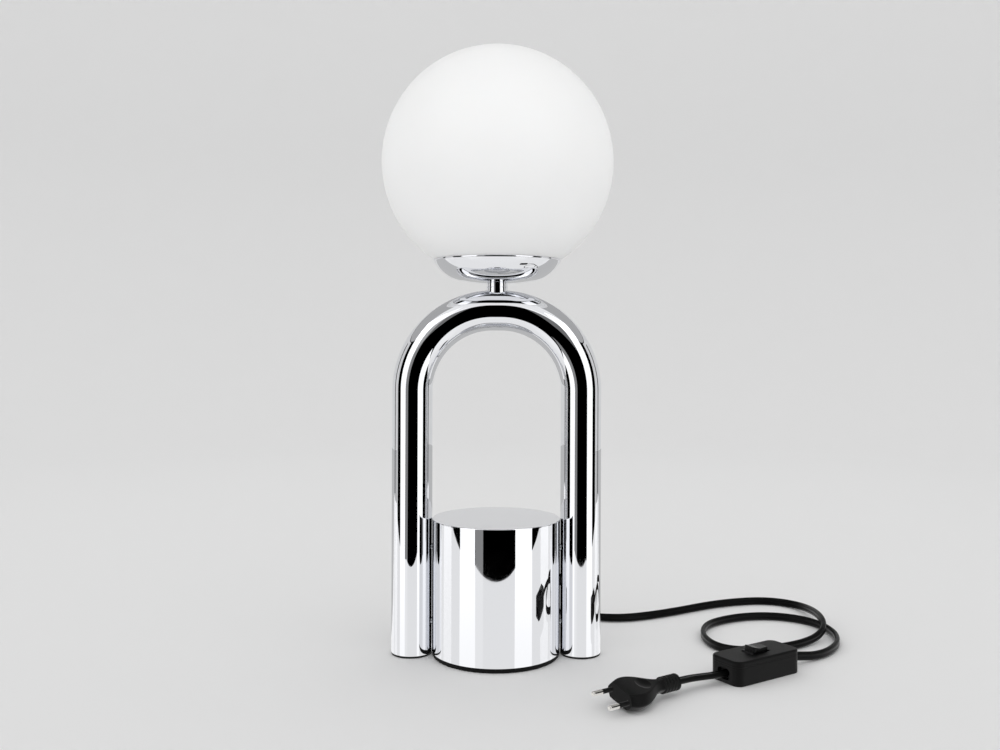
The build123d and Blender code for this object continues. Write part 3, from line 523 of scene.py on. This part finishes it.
def opal_glass():
    material, tree = start_finish("satin_opal_glass")
    etch = noise(tree, size_mm=1.2, detail=3)
    rough = spread(tree, etch, low=0.42, high=0.55)
    pits = dents(tree, etch, strength=0.04, depth_mm=0.1)
    end_finish(tree, {
        "Base Color": srgb("#F8F8F7"), "IOR": glass_ior, "Specular IOR Level": 0.35,
        "Subsurface Weight": 0.5, "Subsurface Radius": (1.0, 0.97, 0.93), "Subsurface Scale": 6 * MM},
        {"Roughness": rough, "Normal": pits})
    return material


# %% [markdown]
# **Frosted bulb glass** is etched on the inside only: white and soft behind a smooth clear skin. The
# globe hides it, but the bulb is there when the globe is unscrewed.

# %% Inside-frosted glass


def frosted_glass():
    material, tree = start_finish("inside_frosted_glass")
    rough = spread(tree, noise(tree, size_mm=2, detail=2), low=0.12, high=0.22)
    end_finish(tree, {
        "Base Color": srgb("#F1F0EA"), "IOR": glass_ior, "Subsurface Weight": 0.3,
        "Subsurface Radius": (1.0, 0.98, 0.95), "Subsurface Scale": 2 * MM}, {"Roughness": rough})
    return material


# %% [markdown]
# **Soft PVC** sheath is extruded: satin black, with fine drag marks that show only as a broken
# highlight.

# %% Extruded PVC sheath


def pvc_sheath():
    material, tree = start_finish("extruded_black_pvc")
    drag = noise(tree, size_mm=1.6, detail=3)
    rough = spread(tree, drag, low=0.3, high=0.5)
    marks = dents(tree, drag, strength=0.12, depth_mm=0.08)
    end_finish(tree, {"Base Color": srgb("#040404"), "IOR": 1.53, "Specular IOR Level": 0.1},
               {"Roughness": rough, "Normal": marks})
    return material


# %% [markdown]
# **Moulded plastics** take the skin of their mould. The switch and plug come from a spark-eroded
# mould, a fine even grain. The grain is drawn a little coarser than real, so that it shows. Grain
# also hides light in its pits at a low angle, which a lower specular level stands for.

# %% Moulded plastics
plastic_ior = 1.54


def moulded_plastic(name, colour, rough_low, rough_high, grain_mm, depth_mm, gloss):
    material, tree = start_finish(name)
    grain = noise(tree, grain_mm, detail=2)
    rough = spread(tree, grain, rough_low, rough_high)
    pits = dents(tree, grain, strength=0.35, depth_mm=depth_mm)
    end_finish(tree, {"Base Color": srgb(colour), "IOR": plastic_ior, "Specular IOR Level": gloss},
               {"Roughness": rough, "Normal": pits})
    return material


# %% [markdown]
# **Plain metals** inside the lamp and on the pins are stamped, turned or cast, and each keeps a
# skin from that: a plated part is even, a casting is rough as sand.

# %% Plain metals


def plain_metal(name, colour, rough_low, rough_high, grain_mm, depth_mm):
    material, tree = start_finish(name)
    grain = noise(tree, grain_mm, detail=4)
    rough = spread(tree, grain, rough_low, rough_high)
    pits = dents(tree, grain, strength=0.3, depth_mm=depth_mm)
    end_finish(tree, {"Base Color": srgb(colour), "Metallic": 1.0}, {"Roughness": rough, "Normal": pits})
    return material


# %% [markdown]
# ## Dressing the lamp
# Now each slot of the record gets its finish: the drawn solids that stay, down to the bulb's cap and
# the weight inside the drum, and the pieces made above. A black plastic is told from another by its
# gloss more than by its colour. The numbers are the lowest and highest roughness, the grain's size and
# depth in millimetres, and for a plastic its specular level.

# %% Give every piece its finish
finishes = {
    "polished_chrome": polished_chrome(),
    "opal_glass": opal_glass(),
    "frosted_bulb_glass": frosted_glass(),
    "black_cord_sheath": pvc_sheath(),
    # Rubber is filled with soot and drinks in light; nylon glides keep a dull waxy skin.
    "black_rubber": moulded_plastic("moulded_black_rubber", "#090909", 0.7, 0.85, 0.6, 0.05, 0.15),
    "black_glide_plastic": moulded_plastic("moulded_black_nylon", "#090909", 0.5, 0.6, 0.5, 0.03, 0.2),
    # The switch's and plug's grain breaks up highlights; the rocker is polished by fingers.
    "black_switch_plastic": moulded_plastic(
        "spark_grained_black_abs", "#050505", 0.4, 0.55, 0.45, 0.04, 0.12),
    "black_rocker_plastic": moulded_plastic(
        "smooth_black_polycarbonate", "#050505", 0.22, 0.3, 0.5, 0.008, 0.17),
    # Thermoset is harder and shinier than the cord's plastics, and glazed parts shine most.
    "black_holder_plastic": moulded_plastic("black_thermoset", "#1A1A1A", 0.3, 0.42, 0.7, 0.02, 0.5),
    "white_insulator": moulded_plastic("glazed_steatite", "#EDEBE4", 0.1, 0.2, 1.5, 0.02, 0.5),
    "black_bulb_insulator": moulded_plastic("black_glass", "#101012", 0.05, 0.12, 1.5, 0.01, 0.5),
    # Zinc is a cool grey with a fine spangle, aluminium paler, nickel a warm white, brass yellow.
    "zinc_steel": plain_metal("zinc_plated_steel", "#C4C7CA", 0.25, 0.4, 0.8, 0.01),
    "cast_iron": plain_metal("grey_cast_iron", "#54555A", 0.55, 0.75, 0.7, 0.12),
    "brass": plain_metal("stamped_brass", "#D9B26A", 0.2, 0.35, 0.8, 0.01),
    "bulb_cap_aluminium": plain_metal("rolled_aluminium", "#D8DADB", 0.25, 0.38, 0.6, 0.01),
    "nickel_pins": plain_metal("nickel_plated_brass", "#DBD9D5", 0.07, 0.14, 0.6, 0.004),
}
node_slots = {part["node"]: part["material_slot"] for part in frame["record"]["subparts"]}
for node, shape in frame["nodes"].items():
    shape.data.materials.clear()
    shape.data.materials.append(finishes[node_slots[node]])
for made in (supply_flex, plug_flex, drum, arch, boss, collar, cup, globe):
    made.data.materials.append(finishes[made["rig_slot"]])
print("finishes:", len(finishes))

# %% [markdown]
# ## Studio
# Chrome shows the room. A pale table fills its lower half, tall soft boxes left and right draw the
# white stripes, and the dark room behind the camera gives the black ones. The floor and wall that
# the camera sees are matt and pale. What the chrome sees is set apart from them, so that each can be
# tuned by itself: a glossy acrylic table, lit from below, which carries the soft boxes' stripes down
# to the foot, grey card behind it, and white cloth overhead. Two black boards, which a photographer
# calls flags, draw thin dark lines along the legs' edges and make them read as round. These pieces
# are painted nearly black and glow by a set amount, so that no lamp changes what the chrome sees. The
# drum in the picture doesn't show the plug, so the plug and its lead are kept out of reflections.

# %% Floor, wall and table
wall_r = 2.6
wall_h = 1.6
cove_r = 0.9
cove_steps = 24
wall_steps = 128
lit_wing = 5                # degrees that the wall seen in the chrome comes forward on each side
table_front = -0.366
table_side = 0.9
corner_x = 0.25             # where the table's cut corners start on its front edge
corner_y = 0.03             # and end on its sides
table_back = 0.42           # the back corners; from there the edge runs in to the lamp
table_lift = 0.00006
card_side = 2.0
card_back = 2.0
card_lift = 0.00003
flag_bearing = 107          # degrees from the camera's side
flag_width = 6
flag_distance = 1.0
flag_height = 0.7
canopy_r = 2.4
canopy_low = 27             # degrees above the arch's top, where the white cloth overhead begins
canopy_z = 0.3


def stage_piece(name, mesh, material):
    made = bpy.data.objects.new(name, mesh)
    scene.collection.objects.link(made)
    made.data.materials.append(material)
    return made


def stage_paint(name, colour, rough, gloss, glow):
    material, tree = start_finish(name)
    end_finish(tree, {
        "Base Color": srgb(colour), "Roughness": rough, "Specular IOR Level": gloss,
        "Emission Color": srgb("#FFFFFF"), "Emission Strength": glow}, {})
    return material


pale_paint = stage_paint("pale_matt_paint", "#EFEFEF", rough=0.9, gloss=0.0, glow=0.0)
acrylic = stage_paint("lit_white_acrylic", "#0C0C0C", rough=0.06, gloss=0.5, glow=0.86)
grey_card = stage_paint("grey_card", "#0C0C0C", rough=1.0, gloss=0.0, glow=0.52)
black_felt = stage_paint("black_felt", "#0C0C0C", rough=1.0, gloss=0.0, glow=0.0)
lit_cloth = stage_paint("lit_white_cloth", "#0C0C0C", rough=1.0, gloss=0.0, glow=0.42)


def cyclorama(name, start, end):
    """A floor that curves up into a round wall, between two angles about the lamp's axis."""
    outline = [(0, 0), *arc((wall_r - cove_r, cove_r), cove_r, -90, 0, cove_steps), (wall_r, wall_h)]
    turns = [math.radians(start + (end - start) * step / wall_steps) for step in range(wall_steps + 1)]
    build = bmesh.new()
    rows = [[build.verts.new((r * math.cos(t), r * math.sin(t), z)) for r, z in outline] for t in turns]
    for left, right in zip(rows, rows[1:]):
        for low in range(len(outline) - 1):
            build.faces.new((left[low], right[low], right[low + 1], left[low + 1]))
    bmesh.ops.remove_doubles(build, verts=build.verts, dist=weld)
    for face in build.faces:
        face.smooth = True
    mesh = bpy.data.meshes.new(name)
    build.to_mesh(mesh)
    build.free()
    return mesh


back_mesh = cyclorama("back_wall", -lit_wing, 180 + lit_wing)
back_wall = stage_piece("back_wall", back_mesh, pale_paint)
front_mesh = cyclorama("front_wall", 180 + lit_wing, 360 - lit_wing)
front_wall = stage_piece("front_wall", front_mesh, pale_paint)
front_wall.visible_glossy = False


def flat_sheet(name, outline, lift, material):
    """A level sheet just over the floor, inside an outline of (x, y) points."""
    mesh = bpy.data.meshes.new(name)
    mesh.from_pydata([(x, y, lift) for x, y in outline], [], [range(len(outline))])
    return stage_piece(name, mesh, material)


right_edge = [(corner_x, table_front), (table_side, corner_y), (table_side, table_back)]
left_edge = [(-x, y) for x, y in reversed(right_edge)]
table = flat_sheet("table", [*right_edge, (0, 0), *left_edge], table_lift, acrylic)
card_outline = [(-card_side, 0), (card_side, 0), (card_side, card_back), (-card_side, card_back)]
card = flat_sheet("grey_card", card_outline, card_lift, grey_card)


def only_in_mirrors(made):
    """Leaves a stage piece to the chrome: no camera sees it, and it neither lights nor shades the rest."""
    made.visible_camera = False
    made.visible_diffuse = False
    made.visible_shadow = False


only_in_mirrors(table)
only_in_mirrors(card)
for side in (-1, 1):
    near = math.radians(flag_bearing - flag_width / 2)
    far = math.radians(flag_bearing + flag_width / 2)
    foot = [(side * flag_distance * math.sin(turn), -flag_distance * math.cos(turn))
            for turn in (near, far)]
    flag_mesh = bpy.data.meshes.new("flag")
    corners = [(*foot[0], 0), (*foot[1], 0), (*foot[1], flag_height), (*foot[0], flag_height)]
    flag_mesh.from_pydata(corners, [], [(0, 1, 2, 3)])
    only_in_mirrors(stage_piece("flag", flag_mesh, black_felt))

for made in (plug_flex, *plug_pieces):
    made.visible_glossy = False

canopy_outline = arc((0, 0), canopy_r, canopy_low, 90, cove_steps)
canopy = stage_piece("canopy", turned("canopy", canopy_outline, "pointed"), lit_cloth)
canopy.location.z = canopy_z
only_in_mirrors(canopy)

# %% [markdown]
# ## Light
# Each light is a flat panel that faces the lamp from a bearing and a height, so a bearing read from
# a stripe on the drum can be typed in. Brightness is given as radiance: white paint in a radiance of
# 1 just reaches white in the picture, and the panels need little more than that to show as white.
# The panels round the camera are for the chrome alone: they draw the light bands along the arch, and
# one of them only shows in the drum, whose flat top would look like a hole from behind without it.
# The panels don't light the floor and the wall, which stay even because only the room lights them.
# A lit table throws light up on the globe, and a weak panel from below stands for that.

# %% Lights
light_distance = 1.6
box_low = -28               # degrees that the side panels reach below and above the lamp's middle
box_high = 42
box_light = 1.25
shoulder_low = 10
shoulder_high = 32
shoulder_light = 0.17
room_light = 0.92
lamp_middle = Vector((0, 0, 0.3))


def light_group(name, *members):
    """A collection that tells a light what to shine on, or what to leave out."""
    group = bpy.data.collections.new(name)
    for member in members:
        group.objects.link(member)
    return group


all_but_walls = light_group("all_but_walls", back_wall, front_wall)
for entry in all_but_walls.collection_objects:
    entry.light_linking.link_state = "EXCLUDE"
drum_alone = light_group("drum_alone", drum)
globe_alone = light_group("globe_alone", globe)


def soft_box(name, left, right, low, high, radiance, shines_on=all_but_walls):
    """Light panel that faces the lamp, between two bearings from the camera's side and two heights."""
    bearing = math.radians((left + right) / 2)
    height = math.radians((low + high) / 2)
    outward = Vector((math.sin(bearing), -math.cos(bearing), math.tan(height))).normalized()
    light = bpy.data.lights.new(name, "AREA")
    light.shape = "RECTANGLE"
    light.size = 2 * light_distance * math.tan(math.radians(right - left) / 2)
    light.size_y = 2 * light_distance * math.tan(math.radians(high - low) / 2)
    light.energy = radiance * math.pi * light.size * light.size_y
    made = bpy.data.objects.new(name, light)
    made.location = lamp_middle + outward * light_distance
    made.rotation_euler = outward.to_track_quat("Z", "Y").to_euler()
    made.visible_camera = False
    made.light_linking.receiver_collection = shines_on
    scene.collection.objects.link(made)
    return made


# Each line gives the left and right bearing, the lower and upper height, and the radiance.
soft_box("left_soft_box", -66, -36, box_low, box_high, box_light)
soft_box("left_grey_panel", -36, -22, box_low, box_high, 0.25)
soft_box("right_soft_box", 33, 66, box_low, box_high, box_light)
mirror_panels = [
    soft_box("over_camera", -48, 48, 28, 66, 0.5),
    soft_box("left_shoulder", -44, -12, shoulder_low, shoulder_high, shoulder_light),
    soft_box("right_shoulder", 12, 44, shoulder_low, shoulder_high, shoulder_light),
    soft_box("under_camera", -60, 60, -6, 28, 0.5, drum_alone)]
for panel in mirror_panels:
    panel.visible_diffuse = False
bounce = soft_box("table_bounce", -40, 40, -70, -30, 0.36, globe_alone)
bounce.data.use_shadow = False
bounce.visible_glossy = False

room = bpy.data.worlds.new("room")
room.use_nodes = True
background = room.node_tree.nodes["Background"]
background.inputs["Color"].default_value = srgb("#FFFFFF")
background.inputs["Strength"].default_value = room_light
room.cycles_visibility.glossy = False
room.cycles_visibility.camera = False
scene.world = room
scene.view_settings.view_transform = "Standard"
